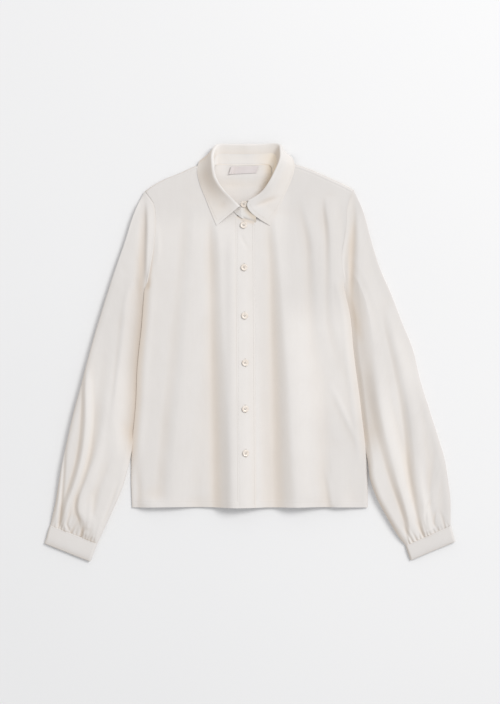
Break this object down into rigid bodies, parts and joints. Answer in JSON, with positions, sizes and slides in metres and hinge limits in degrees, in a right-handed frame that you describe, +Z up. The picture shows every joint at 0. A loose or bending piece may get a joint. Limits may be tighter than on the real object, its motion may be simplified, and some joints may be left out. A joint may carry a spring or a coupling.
{
  "type": "viscose blouse, laid flat",
  "caption": "Long-sleeved viscose blouse with shirt collar, buttoned front band and gathered cuffs, laid flat on a surface.",
  "frame": {"origin": "middle of the blouse's box, on the surface that it lies on", "axes": "+Z up from the surface, +Y from hem to collar, +X towards the wearer's left sleeve"},
  "size_m": [0.699, 0.7108, 0.03],
  "materials": {
    "cloth": "soft plain-woven viscose, off-white, faint sheen",
    "faced_cloth": "the same viscose in two layers over interlining, topstitched",
    "button": "polished peach-beige resin",
    "label": "smooth woven tape, bare"
  },
  "bodies": {
    "root": {"back": "cloth", "front_right": "cloth", "front_left": "cloth", "sleeve_right": "cloth", "sleeve_left": "cloth", "band_over": "faced_cloth", "band_under": "faced_cloth", "cuff_right": "faced_cloth", "cuff_left": "faced_cloth", "collar_stand": "faced_cloth", "collar_leaf": "faced_cloth", "button_1": "button", "button_2": "button", "button_3": "button", "button_4": "button", "button_5": "button", "button_6": "button", "button_collar": "button", "button_cuff_right": "button", "button_cuff_left": "button", "label": "label"}
  },
  "joints": []
}
